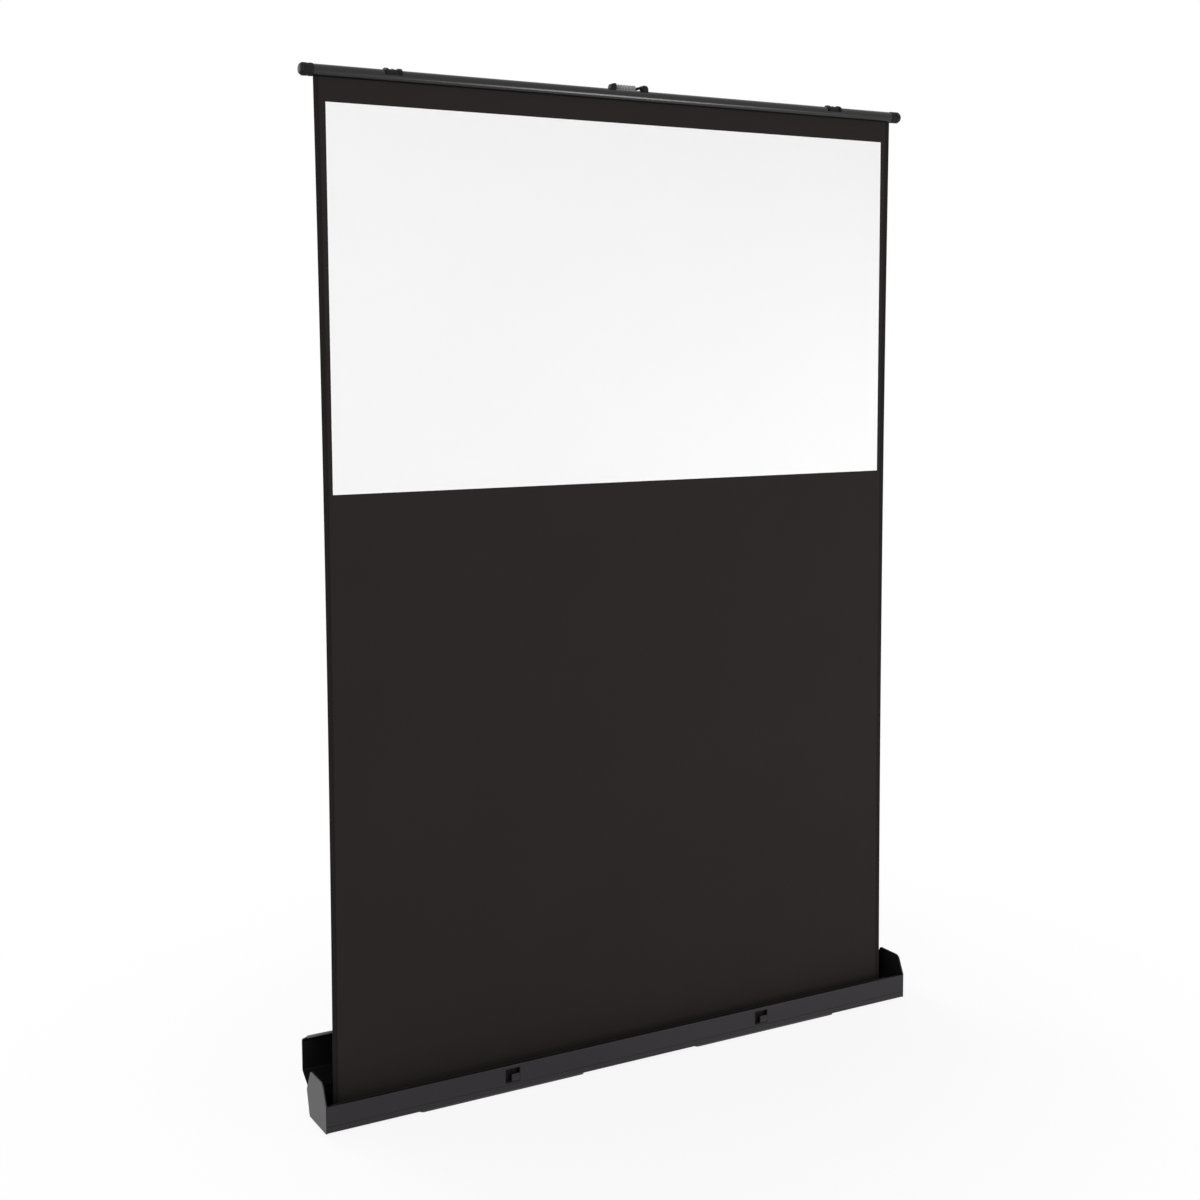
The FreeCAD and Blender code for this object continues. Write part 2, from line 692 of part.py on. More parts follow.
def arm_base(label, x, depth, sign):
    """A bent plate that stands on the case floor and carries one arm."""
    up = S.pivot_height - floor_z
    foot, neck, crown = S.base_width / 2, S.arm_radius, S.arm_radius / 2
    body = new_body(label)
    sketch = new_sketch(body, "XZ_Plane")
    draw_polygon(sketch, [(-foot, -up), (foot, -up), (neck, 0), (crown, neck), (-crown, neck),
                          (-neck, 0)])
    draw_circle(sketch, (0, 0), S.pin_radius)
    pad(body, sketch, S.ear_thick, backwards=True)
    flange = new_sketch(body, "XY_Plane")
    bind(flange, "AttachmentOffset.Base.z", -up)
    back = S.base_flange if sign > 0 else S.ear_thick
    front = 0 if sign > 0 else S.ear_thick - S.base_flange
    draw_polygon(flange, [(-foot, front), (foot, front), (foot, back), (-foot, back)])
    pad(body, flange, S.ear_thick)
    place(body, x, S.fabric_y + depth, S.pivot_height)


def saddle(side, sign):
    """A strap over the bar with a rib at each end, and an ear that carries the arm."""
    body = new_body(f"arm_saddle_{side}")
    ring = new_sketch(body, "YZ_Plane")
    strap = S.bar_radius + S.saddle_wall
    ribs = S.bar_radius + S.saddle_rib_wall
    draw_circle(ring, (0, 0), strap)
    pad(body, ring, S.saddle_width, "Symmetric")
    for end in (-1, 1):
        rib = new_sketch(body, "YZ_Plane")
        bind(rib, "AttachmentOffset.Base.z", end * (S.saddle_width - S.saddle_rib) / 2)
        draw_circle(rib, (0, 0), ribs)
        pad(body, rib, S.saddle_rib, "Symmetric")
    near_y = ear_depth[side]
    far_y = near_y + S.ear_thick
    low = -S.pivot_drop - S.arm_radius
    ear = new_sketch(body, "YZ_Plane")
    if sign > 0:
        outline = [(near_y, low), (far_y, low), (far_y, -S.bar_radius / 2),
                   (near_y, -S.bar_radius / 2)]
    else:
        web = S.bar_radius * 0.75
        outline = [(web, -web), (near_y, -web), (near_y, low), (far_y, low),
                   (far_y, S.saddle_wall), (web, S.saddle_wall)]
    draw_polygon(ear, outline)
    pad(body, ear, S.saddle_width, "Symmetric")
    bore = new_sketch(body, "YZ_Plane")
    draw_circle(bore, (0, 0), S.bar_radius)
    pocket(body, bore)
    # The strap stops short at the front, and under the bar where the fabric comes out.
    below = -ribs - S.saddle_wall
    stop = S.saddle_wall
    mouth_back = S.ear_gap if sign > 0 else S.bar_radius * 0.75
    mouth_top = stop if sign > 0 else -S.bar_radius * 0.75
    mouth = new_sketch(body, "YZ_Plane")
    draw_polygon(mouth, [(below, below), (mouth_back, below), (mouth_back, mouth_top), (0, mouth_top),
                         (0, stop), (below, stop)] if sign < 0 else
                 [(below, below), (mouth_back, below), (mouth_back, stop), (below, stop)])
    pocket(body, mouth)
    hole = new_sketch(body, "XZ_Plane")
    draw_circle(hole, (0, -S.pivot_drop), S.pin_radius)
    pocket(body, hole)
    half = S.saddle_width.value / 2
    round_edges(body, S.arm_radius * 0.75, lambda middle, edge: abs(abs(middle.x) - half) < 0.01
                and abs(middle.z - low.value) < 0.01)
    place(body, sign * pivot_spacing / 2, S.fabric_y, S.bar_height)


def top_bar():
    tube_length = bar_length - 2 * S.cap_length
    tube_in = S.bar_radius - S.bar_wall
    tube = new_body("top_bar_tube")
    sketch = new_sketch(tube, "YZ_Plane")
    draw_circle(sketch, (0, 0), S.bar_radius)
    draw_circle(sketch, (0, 0), tube_in)
    pad(tube, sketch, tube_length, "Symmetric")
    slot = new_sketch(tube, "YZ_Plane")
    half = S.hem_slot / 2
    draw_polygon(slot, [(-half, -S.bar_radius - S.bar_wall), (half, -S.bar_radius - S.bar_wall),
                        (half, -tube_in / 2), (-half, -tube_in / 2)])
    pocket(tube, slot)
    place(tube, 0, S.fabric_y, S.bar_height)
    for side, sign in SIDES:
        cap = turned(f"bar_cap_{side}", [
            (0, -S.cap_plug), (tube_in, -S.cap_plug), (tube_in, 0), (S.cap_radius, 0),
            (S.cap_radius, S.cap_length - S.cap_round),
            (S.cap_radius - S.cap_round, S.cap_length), (0, S.cap_length)])
        place(cap, sign * tube_length / 2, S.fabric_y, S.bar_height, Y_AXIS, sign * RIGHT_ANGLE)
        saddle(side, sign)
    spline = doc.addObject("Part::Cylinder", "spline")
    spline_length = tube_length - 2 * S.cap_plug - 2 * S.layer_gap
    bind(spline, "Radius", S.spline_radius)
    bind(spline, "Height", spline_length)
    place(spline, -spline_length / 2, S.fabric_y, fabric_top + S.spline_radius, Y_AXIS, RIGHT_ANGLE)
    keep(spline, "hem_spline")


def handle():
    pivot_up = S.bar_radius + S.block_height - S.block_depth / 2 + S.bail_radius
    inner = S.handle_span / 2 - S.block_width
    arm_x = inner - S.bail_radius - S.layer_gap
    half = S.block_depth / 2
    crest = S.bar_radius + S.block_height
    for side, sign in SIDES:
        block = extruded(f"handle_block_{side}", [
            (-half, half), (half, half), (half, crest), (-half, crest)], S.block_width)
        bore = new_sketch(block, "YZ_Plane")
        draw_circle(bore, (0, 0), S.bar_radius)
        pocket(block, bore)
        pivot = new_sketch(block, "YZ_Plane")
        draw_circle(pivot, (0, pivot_up), S.bail_radius + S.pin_clearance)
        pocket(block, pivot)
        round_edges(block, half / 2, lambda middle, edge: near(middle, half, crest)
                    or near(middle, -half, crest))
        place(block, sign * (S.handle_span - S.block_width) / 2, S.fabric_y, S.bar_height)
    z = S.bar_height + pivot_up
    grip_y = S.fabric_y + S.bail_reach

    def rod(name, length, x, y, axis, degrees):
        item = doc.addObject("Part::Cylinder", name)
        bind(item, "Radius", S.bail_radius)
        bind(item, "Height", length)
        return place(item, x, y, z, axis, degrees)

    rods = [rod("bail_cross", 2 * (arm_x + S.bail_radius), -arm_x - S.bail_radius, grip_y, Y_AXIS,
                RIGHT_ANGLE)]
    stub = S.handle_span / 2 - arm_x + S.bail_radius
    for side, sign in SIDES:
        start = arm_x - S.bail_radius if sign > 0 else -S.handle_span / 2
        rods.append(rod(f"bail_stub_{side}", stub, start, S.fabric_y, Y_AXIS, RIGHT_ANGLE))
        rods.append(rod(f"bail_arm_{side}", S.bail_reach, sign * arm_x, S.fabric_y, X_AXIS,
                        -RIGHT_ANGLE))
    bail = doc.addObject("Part::MultiFuse", "bail")
    bail.Shapes = rods
    bail.Refine = True
    keep(bail, "handle_bail")
    # The grip is a sleeve with a collar at each end.
    grip_length = 2 * (arm_x - S.bail_radius - S.layer_gap)
    waist = S.grip_radius - S.grip_waist
    outline = [(S.bail_radius, 0), (S.grip_radius, 0), (S.grip_radius, S.grip_collar),
               (waist, S.grip_collar + S.grip_waist), (waist, grip_length - S.grip_collar - S.grip_waist),
               (S.grip_radius, grip_length - S.grip_collar), (S.grip_radius, grip_length),
               (S.bail_radius, grip_length)]
    grip = turned("handle_grip", outline)
    place(grip, -grip_length / 2, grip_y, z, Y_AXIS, RIGHT_ANGLE)


def fabric():
    field = doc.addObject("Part::Box", "field")
    bind(field, "Length", S.field_width)
    bind(field, "Width", S.fabric_thick)
    bind(field, "Height", S.field_height)
    place(field, -S.field_width / 2, S.fabric_y - S.fabric_thick / 2, field_top - S.field_height)
    keep(field, "white_field")
    # The black surround is one sheet with a window; its side edges draw in a little.
    low, high = S.roller_height.value, fabric_top.value
    half = fabric_half.value
    waist = half - S.edge_draw.value
    middle = (low + high) / 2
    corner = [Vector(-half, 0, low), Vector(half, 0, low), Vector(half, 0, high),
              Vector(-half, 0, high)]
    edges = [Part.makeLine(corner[0], corner[1]),
             Part.Arc(corner[1], Vector(waist, 0, middle), corner[2]).toShape(),
             Part.makeLine(corner[2], corner[3]),
             Part.Arc(corner[3], Vector(-waist, 0, middle), corner[0]).toShape()]
    window_low = field_top.value - S.field_height.value
    wide = S.field_width.value / 2
    window = Part.makePolygon([Vector(-wide, 0, window_low), Vector(wide, 0, window_low),
                               Vector(wide, 0, field_top.value), Vector(-wide, 0, field_top.value),
                               Vector(-wide, 0, window_low)])
    sheet = Part.Face(Part.Wire(edges)).cut(Part.Face(window))
    surround = doc.addObject("Part::Feature", "surround")
    surround.Shape = sheet.Faces[0].extrude(Vector(0, S.fabric_thick.value, 0))
    surround.Placement = Placement(Vector(0, S.fabric_y.value - S.fabric_thick.value / 2, 0),
                                   Rotation())
    keep(surround, "black_surround")


case_trough()
end_plates()
feet()
lid()
latches()
roller()
arms()
top_bar()
handle()
fabric()
doc.recompute()

for item in doc.Objects:
    if "Invalid" in item.State or "Error" in item.State:
        raise RuntimeError(f"{item.Name} ({item.Label}) failed: {item.State}")
for item in pieces:
    if item.Shape.isNull() or not item.Shape.isValid() or len(item.Shape.Solids) != 1:
        raise RuntimeError(f"{item.Label} is not one valid solid")

os.makedirs("parts", exist_ok=True)
for item in pieces:
    item.Shape.exportStep(f"parts/{item.Label}.step")
print(f"{len(pieces)} pieces, arms lean {arm_lean:.4f} degrees")
print("elbow", -pivot_spacing.value / 2 + arm_in.value, elbow_z.value)
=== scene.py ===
import json
import math

import bmesh
import bpy
from mathutils import Matrix, Vector

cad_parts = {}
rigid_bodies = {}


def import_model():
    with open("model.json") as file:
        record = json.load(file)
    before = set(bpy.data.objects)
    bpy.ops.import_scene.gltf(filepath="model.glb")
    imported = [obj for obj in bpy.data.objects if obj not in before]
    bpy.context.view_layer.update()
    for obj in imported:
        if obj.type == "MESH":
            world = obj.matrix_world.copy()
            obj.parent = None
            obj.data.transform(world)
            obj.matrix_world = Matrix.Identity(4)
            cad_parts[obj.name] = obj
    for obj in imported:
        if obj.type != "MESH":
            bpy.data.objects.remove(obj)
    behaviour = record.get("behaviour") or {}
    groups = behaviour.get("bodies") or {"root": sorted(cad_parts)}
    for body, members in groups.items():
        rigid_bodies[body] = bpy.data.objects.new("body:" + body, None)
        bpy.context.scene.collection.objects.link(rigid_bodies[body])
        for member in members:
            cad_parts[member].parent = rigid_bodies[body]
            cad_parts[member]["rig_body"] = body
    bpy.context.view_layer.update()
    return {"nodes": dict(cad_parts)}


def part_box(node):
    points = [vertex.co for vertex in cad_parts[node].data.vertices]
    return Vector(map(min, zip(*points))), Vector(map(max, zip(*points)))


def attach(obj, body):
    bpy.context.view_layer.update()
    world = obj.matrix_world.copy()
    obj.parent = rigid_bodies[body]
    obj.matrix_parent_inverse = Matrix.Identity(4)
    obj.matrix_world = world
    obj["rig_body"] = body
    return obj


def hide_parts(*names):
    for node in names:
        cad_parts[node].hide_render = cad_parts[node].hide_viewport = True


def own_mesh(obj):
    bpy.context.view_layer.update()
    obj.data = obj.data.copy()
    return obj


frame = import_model()
NODES = frame["nodes"]

bl_info = {
    "name": "Pull-up projection screen",
    "version": (1, 0, 0),
    "blender": (4, 5, 0),
    "location": "View3D > Sidebar > Screen",
    "description": "Dresses the floor-standing projection screen: fabric, bar, handle, case and arms",
    "category": "Object",
}

MM = 0.001
# Two points nearer than this are taken as one.
NEAR = 0.1 * MM
X, Y, Z = Vector((1, 0, 0)), Vector((0, 1, 0)), Vector((0, 0, 1))
SIDES = (("left", -1), ("right", 1))


def linear(hex_colour):
    """An sRGB hex value as linear red, green and blue."""
    channels = [int(hex_colour[i:i + 2], 16) / 255 for i in (1, 3, 5)]
    return tuple(c / 12.92 if c <= 0.04045 else ((c + 0.055) / 1.055) ** 2.4 for c in channels)


def length(name, description, millimetres):
    return bpy.props.FloatProperty(name=name, description=description, default=millimetres * MM,
                                   min=0, unit="LENGTH", precision=4)


def colour(name, description, hex_colour):
    return bpy.props.FloatVectorProperty(name=name, description=description, subtype="COLOR",
                                         default=linear(hex_colour), min=0, max=1)


class ScreenSizes(bpy.types.PropertyGroup):
    """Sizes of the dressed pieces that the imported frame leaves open."""
    hem_width: length("Side hem", "Width of the doubled hem down each side of the fabric", 11)
    edge_draw: length("Edge draw", "How far the stretched side edges pull in at mid height", 5)
    cloth: length("Cloth", "Thickness of the black backing cloth", 0.6)
    coat: length("Coat", "Thickness of the white coat on the backing", 0.3)
    grip_rib: length("Grip rib", "Pitch of the ribs round the handle grip", 7.0)
    screw: length("Screw head", "Radius of the small screw heads", 3.2)


class ScreenColours(bpy.types.PropertyGroup):
    """Colours of the finishes."""
    backing: colour("Backing", "Black backing cloth", "#272322")
    hem: colour("Hem", "Doubled cloth of the side hems", "#1F1C1B")
    field: colour("Field", "Matt white projection coat", "#F8F7F8")
    bar: colour("Bar", "Black lacquer of the top bar", "#110F11")
    case: colour("Case", "Dark grey coat on the case and lid", "#2A282A")
    end_plate: colour("End plate", "Grey moulded end plates", "#535153")
    black: colour("Black plastic", "Moulded black fittings", "#0F0E0F")
    lever: colour("Lever", "Latch levers", "#2A282A")
    grip: colour("Grip", "Ribbed handle sleeve", "#9F9D9E")
    steel: colour("Steel", "Zinc-plated pins, screws and spindle", "#B7B6B3")
    roller: colour("Roller", "Drawn tube of the roller", "#9B9B9D")
    arm: colour("Arms", "Coat on the folding arms and feet", "#2A292B")
    edge_trim: colour("Edge trim", "Rolled trim along the lid's lip", "#656365")
    rubber: colour("Rubber", "Foot pads", "#1B1B1B")
    floor: colour("Floor", "Studio floor", "#FBFBFB")


def sizes():
    return bpy.context.scene.screen_sizes


def colours():
    return bpy.context.scene.screen_colours


# Finishes


def add_node(tree, kind, settings=None, values=None, links=None):
    """Adds a node: settings are its own attributes, values its free sockets, links its fed sockets."""
    node = tree.nodes.new(kind)
    for key, value in (settings or {}).items():
        setattr(node, key, value)
    for key, value in (values or {}).items():
        node.inputs[key].default_value = value
    for key, source in (links or {}).items():
        tree.links.new(source, node.inputs[key])
    return node


def rgba(rgb, times=1.0):
    return (*[min(1.0, c * times) for c in rgb], 1.0)


def per_metre(millimetres):
    """Scale of a noise whose grains are about this wide."""
    return 1 / (millimetres * MM)


def new_finish(name, **shader_values):
    """An empty material with a surface shader, its tree and the object coordinates."""
    finish = bpy.data.materials.new(name)
    finish.use_nodes = True
    tree = finish.node_tree
    tree.nodes.clear()
    shader = add_node(tree, "ShaderNodeBsdfPrincipled",
                      values={key.replace("_", " "): value for key, value in shader_values.items()})
    add_node(tree, "ShaderNodeOutputMaterial", links={"Surface": shader.outputs["BSDF"]})
    place = add_node(tree, "ShaderNodeTexCoord").outputs["Object"]
    return finish, tree, shader, place


def seen_white(tree):
    """1 for the rays that meet a clear white background: from the lens, off gloss and through glass."""
    rays = add_node(tree, "ShaderNodeLightPath")
    seen = rays.outputs["Is Camera Ray"]
    for ray in ("Is Glossy Ray", "Is Transmission Ray"):
        seen = add_node(tree, "ShaderNodeMath", {"operation": "MAXIMUM"},
                        links={0: seen, 1: rays.outputs[ray]}).outputs[0]
    return seen


def shade_inside(tree, place, outer_faces, outside, inside_shade):
    """Paints shade on a shell's inner side: the given near-black colour behind every outer face, (normal,
    point).
    """
    nearest = None
    for normal, point in outer_faces:
        along = add_node(tree, "ShaderNodeVectorMath", {"operation": "DOT_PRODUCT"}, {1: normal}, {0: place})
        past = add_node(tree, "ShaderNodeMath", {"operation": "SUBTRACT"}, {1: normal.dot(point)},
                        {0: along.outputs["Value"]}).outputs[0]
        nearest = past if nearest is None else add_node(tree, "ShaderNodeMath", {"operation": "MAXIMUM"},
                                                        links={0: nearest, 1: past}).outputs[0]
    skin = 1 * MM
    inner = add_node(tree, "ShaderNodeMath", {"operation": "LESS_THAN"}, {1: -skin}, {0: nearest})
    return add_node(tree, "ShaderNodeMix", {"data_type": "RGBA"}, {7: inside_shade},
                    {0: inner.outputs[0], 6: outside}).outputs[2]


def woven_blackout_cloth():
    # Blackout polyester, plain woven and dyed black: dull, with a faint thread and slow cloudiness.
    finish, tree, shader, place = new_finish("blackout_polyester_woven", Roughness=0.88, Sheen_Weight=0.02,
                                             Sheen_Roughness=0.5, Specular_IOR_Level=0.08)
    c = colours()
    cloud = add_node(tree, "ShaderNodeTexNoise", values={"Scale": per_metre(260), "Detail": 3.0},
                     links={"Vector": place})
    cloth = add_node(tree, "ShaderNodeMix", {"data_type": "RGBA"},
                     {6: rgba(c.backing, 0.92), 7: rgba(c.backing, 1.08)}, {0: cloud.outputs["Fac"]})
    # The threads are 0.4 mm apart, and are drawn 2.4 mm apart to show at all.
    # A wave texture repeats every tau / 20 units.
    thread_pitch = 2.4 * MM
    thread_scale = math.tau / 20 / thread_pitch
    warp = add_node(tree, "ShaderNodeTexWave", {"bands_direction": "X"},
                    {"Scale": thread_scale, "Distortion": 0.6, "Detail": 1.0}, {"Vector": place})
    weft = add_node(tree, "ShaderNodeTexWave", {"bands_direction": "Z"},
                    {"Scale": thread_scale, "Distortion": 0.6, "Detail": 1.0}, {"Vector": place})
    weave = add_node(tree, "ShaderNodeMath", {"operation": "MAXIMUM"},
                     links={0: warp.outputs["Fac"], 1: weft.outputs["Fac"]})
    # The map runs in metres: U is the distance from the nearer side edge and V the height.
    edge = add_node(tree, "ShaderNodeSeparateXYZ",
                    links={"Vector": add_node(tree, "ShaderNodeUVMap", {"uv_map": "edge_run"}).outputs["UV"]})
    hem_width = sizes().hem_width
    seam_inset, seam_half, stitch_half, stitch_gap = 2.5 * MM, 0.7 * MM, 2.6 * MM, 0.9 * MM
    hem = add_node(tree, "ShaderNodeMath", {"operation": "LESS_THAN"}, {1: hem_width}, {0: edge.outputs["X"]})
    hemmed = add_node(tree, "ShaderNodeMix", {"data_type": "RGBA"}, {7: rgba(c.hem)},
                      {0: hem.outputs[0], 6: cloth.outputs[2]})
    seam_line = add_node(tree, "ShaderNodeMath", {"operation": "COMPARE"},
                         {1: hem_width - seam_inset, 2: seam_half}, {0: edge.outputs["X"]})
    stitch_run = add_node(tree, "ShaderNodeMath", {"operation": "PINGPONG"}, {1: stitch_half},
                          {0: edge.outputs["Y"]})
    stitch_on = add_node(tree, "ShaderNodeMath", {"operation": "GREATER_THAN"}, {1: stitch_gap},
                         {0: stitch_run.outputs[0]})
    stitch = add_node(tree, "ShaderNodeMath", {"operation": "MULTIPLY"},
                      links={0: seam_line.outputs[0], 1: stitch_on.outputs[0]})
    sewn = add_node(tree, "ShaderNodeMix", {"data_type": "RGBA"}, {7: rgba(c.backing, 0.45)},
                    {0: stitch.outputs[0], 6: hemmed.outputs[2]})
    tree.links.new(sewn.outputs[2], shader.inputs["Base Color"])
    thread_bump = add_node(tree, "ShaderNodeBump", values={"Strength": 0.12, "Distance": 0.2 * MM},
                           links={"Height": weave.outputs[0]})
    stitch_bump = add_node(tree, "ShaderNodeBump", {"invert": True}, {"Strength": 0.5, "Distance": 0.4 * MM},
                           {"Height": stitch.outputs[0], "Normal": thread_bump.outputs["Normal"]})
    tree.links.new(stitch_bump.outputs["Normal"], shader.inputs["Normal"])
    return finish


def coated_projection_white():
    # Matt PVC coat, cast and embossed: an even diffuse white with a fine grain and no highlight.
    finish, tree, shader, place = new_finish("matt_pvc_coat_embossed", Roughness=0.82,
                                             Specular_IOR_Level=0.25)
    # The embossed grain is 0.5 mm, and is drawn 1.6 mm wide to show in a close view.
    grain = add_node(tree, "ShaderNodeTexNoise", values={"Scale": per_metre(1.6), "Detail": 2.0},
                     links={"Vector": place})
    cloud = add_node(tree, "ShaderNodeTexNoise", values={"Scale": per_metre(400), "Detail": 2.0},
                     links={"Vector": place})
    white = colours().field
    tone = add_node(tree, "ShaderNodeMix", {"data_type": "RGBA"},
                    {6: rgba(white, 0.985), 7: rgba(white, 1.01)}, {0: cloud.outputs["Fac"]})
    tree.links.new(tone.outputs[2], shader.inputs["Base Color"])
    bump = add_node(tree, "ShaderNodeBump", values={"Strength": 0.10, "Distance": 0.1 * MM},
                    links={"Height": grain.outputs["Fac"]})
    tree.links.new(bump.outputs["Normal"], shader.inputs["Normal"])
    return finish


def drawn_metal(name, tint, roughness, line_mm, metallic=0.0, gloss_level=0.5, outer_faces=()):
    """Extruded, rolled or drawn metal, coated or bare, with fine lines along its length."""
    finish, tree, shader, place = new_finish(name, Metallic=metallic, Specular_IOR_Level=gloss_level)
    contrast = 0.08
    run = add_node(tree, "ShaderNodeMapping", values={"Scale": (0.02, 1.0, 1.0)}, links={"Vector": place})
    line = add_node(tree, "ShaderNodeTexNoise", values={"Scale": per_metre(line_mm), "Detail": 3.0},
                    links={"Vector": run.outputs["Vector"]})
    # Sprayed coats settle in an orange peel about 2 mm across.
    peel = add_node(tree, "ShaderNodeTexNoise", values={"Scale": per_metre(2.0), "Detail": 1.0},
                    links={"Vector": place})
    tone = add_node(tree, "ShaderNodeMix", {"data_type": "RGBA"},
                    {6: rgba(tint, 1 - contrast), 7: rgba(tint, 1 + contrast)},
                    {0: line.outputs["Fac"]}).outputs[2]
    if outer_faces:
        # Painted shade: the inner sides take the black plastic colour at 0.3.
        tone = shade_inside(tree, place, outer_faces, tone, rgba(colours().black, 0.3))
    tree.links.new(tone, shader.inputs["Base Color"])
    spread = 0.05
    gloss = add_node(tree, "ShaderNodeMapRange",
                     values={"To Min": roughness - spread, "To Max": roughness + spread},
                     links={"Value": line.outputs["Fac"]})
    tree.links.new(gloss.outputs["Result"], shader.inputs["Roughness"])
    bump = add_node(tree, "ShaderNodeBump", values={"Strength": 0.06, "Distance": 0.1 * MM},
                    links={"Height": peel.outputs["Fac"]})
    tree.links.new(bump.outputs["Normal"], shader.inputs["Normal"])
    return finish


def moulded(name, tint, roughness, grain_mm, depth=0.15, gloss_level=0.3, outer_faces=()):
    """Injection-moulded plastic or rubber with a spark-eroded grain."""
    finish, tree, shader, place = new_finish(name, IOR=1.53, Specular_IOR_Level=gloss_level)
    grain = add_node(tree, "ShaderNodeTexVoronoi", {"feature": "SMOOTH_F1"}, {"Scale": per_metre(grain_mm)},
                     {"Vector": place})
    flow = add_node(tree, "ShaderNodeTexNoise", values={"Scale": per_metre(38), "Detail": 2.0},
                    links={"Vector": place})
    tone = add_node(tree, "ShaderNodeMix", {"data_type": "RGBA"}, {6: rgba(tint, 0.93), 7: rgba(tint, 1.07)},
                    {0: flow.outputs["Fac"]}).outputs[2]
    if outer_faces:
        # Painted shade: the inner sides take the black plastic colour at 0.3.
        tone = shade_inside(tree, place, outer_faces, tone, rgba(colours().black, 0.3))
    tree.links.new(tone, shader.inputs["Base Color"])
    spread = 0.06
    gloss = add_node(tree, "ShaderNodeMapRange",
                     values={"To Min": roughness - spread, "To Max": roughness + spread},
                     links={"Value": flow.outputs["Fac"]})
    tree.links.new(gloss.outputs["Result"], shader.inputs["Roughness"])
    bump = add_node(tree, "ShaderNodeBump", values={"Strength": depth, "Distance": 0.15 * MM},
                    links={"Height": grain.outputs["Distance"]})
    tree.links.new(bump.outputs["Normal"], shader.inputs["Normal"])
    return finish


FINISH = {}


def mix_finishes():
    """Every finish on the object, by the use it is put to."""
    c = colours()
    case_low, lid_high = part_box("case_trough")[0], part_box("lid_shell")[1]
    plate_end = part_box("end_plate_right")[1].x
    # Outer faces of the case: the front, the floor and the leaning back.
    back_lean, back_foot = Vector((0, 0.966, -0.260)), Vector((0, 22 * MM, case_low.z))
    case_faces = ((-Y, case_low), (-Z, case_low), (back_lean, back_foot))
    # Outer faces of the open lid: the slope up from the hinge, the back and the lip.
    slope, slope_end = Vector((0, 0.555, -0.832)), Vector((0, lid_high.y, 80.8 * MM))
    lip, lip_start = Vector((0, 0.468, 0.884)), Vector((0, lid_high.y, 146.8 * MM))
    lid_faces = ((slope, slope_end), (Y, lid_high), (lip, lip_start))
    plate_faces = ((X, X * plate_end), (-X, -X * plate_end))
    FINISH.update(
        cloth=woven_blackout_cloth(),
        field=coated_projection_white(),
        # Extruded aluminium under a dark satin powder coat: soft highlights, no sparkle.
        # The inner sides take painted shade, near black.
        case=drawn_metal("powder_coated_aluminium_extruded", c.case, roughness=0.5, line_mm=0.6,
                         gloss_level=0.18, outer_faces=case_faces),
        lid=drawn_metal("powder_coated_aluminium_lid", c.case, roughness=0.5, line_mm=0.6,
                        gloss_level=0.18, outer_faces=lid_faces),
        # Drawn aluminium tube in black lacquer: one clear streak of light along it.
        bar=drawn_metal("black_lacquered_aluminium_drawn", c.bar, roughness=0.24, line_mm=0.4,
                        gloss_level=0.42),
        # Cold-drawn steel tube, bare: grey, with lines along it.
        roller=drawn_metal("drawn_steel_tube_bare", c.roller, roughness=0.36, line_mm=0.5, metallic=1.0),
        # Aluminium trim, rolled and satin anodised: a soft grey line that catches the light.
        trim=drawn_metal("satin_anodised_aluminium_rolled", c.edge_trim, roughness=0.45, line_mm=0.6),
        # Zinc plate over turned or pressed steel: pale and slightly clouded.
        steel=drawn_metal("zinc_plated_steel_pressed", c.steel, roughness=0.3, line_mm=3.0, metallic=1.0),
        # Pressed steel strip, powder coated black: flat, with a soft sheen on the edges.
        arm=drawn_metal("powder_coated_steel_pressed", c.arm, roughness=0.48, line_mm=0.8),
        # ABS end plates, moulded with a medium grain that scatters the light evenly.
        # Their inner sides take painted shade, near black.
        end_plate=moulded("grey_abs_moulded", c.end_plate, roughness=0.55, grain_mm=1.1,
                          outer_faces=plate_faces),
        # The latch cups take painted shade inside, near black, with a rim in the colour of the case.
        cup=moulded("dark_grey_abs_cup_painted_shade", c.lever, roughness=0.6, grain_mm=0.9, gloss_level=0.1,
                    outer_faces=((-Y, case_low),)),
        # Black ABS fittings, moulded with a fine grain: dull, with one broad faint highlight.
        black=moulded("black_abs_moulded", c.black, roughness=0.6, grain_mm=0.9, gloss_level=0.16),
        # ABS latch levers, moulded in the colour of the case: as dark and as satin as its front.
        lever=moulded("dark_grey_abs_moulded", c.lever, roughness=0.5, grain_mm=0.9, gloss_level=0.18),
        # Soft PVC sleeve pushed over the handle: pale, waxy, ribbed.
        grip=moulded("pale_grey_soft_pvc_moulded", c.grip, roughness=0.62, grain_mm=1.4, depth=0.1),
        # Nitrile rubber pads, moulded: matt, with a coarse grain that grips the floor.
        rubber=moulded("nitrile_rubber_moulded", c.rubber, roughness=0.8, grain_mm=1.5, depth=0.3),
    )


# Shaping


def soften(bm, width, segments=3, above=35):
    """Rounds every edge sharper than the given angle, in degrees."""
    sharp = [e for e in bm.edges if len(e.link_faces) == 2 and e.calc_face_angle(0) > math.radians(above)]
    bmesh.ops.bevel(bm, geom=sharp, offset=width, offset_type="OFFSET", segments=segments, profile=0.5,
                    affect="EDGES", material=-1, clamp_overlap=True)
    bmesh.ops.remove_doubles(bm, verts=bm.verts, dist=2e-6)


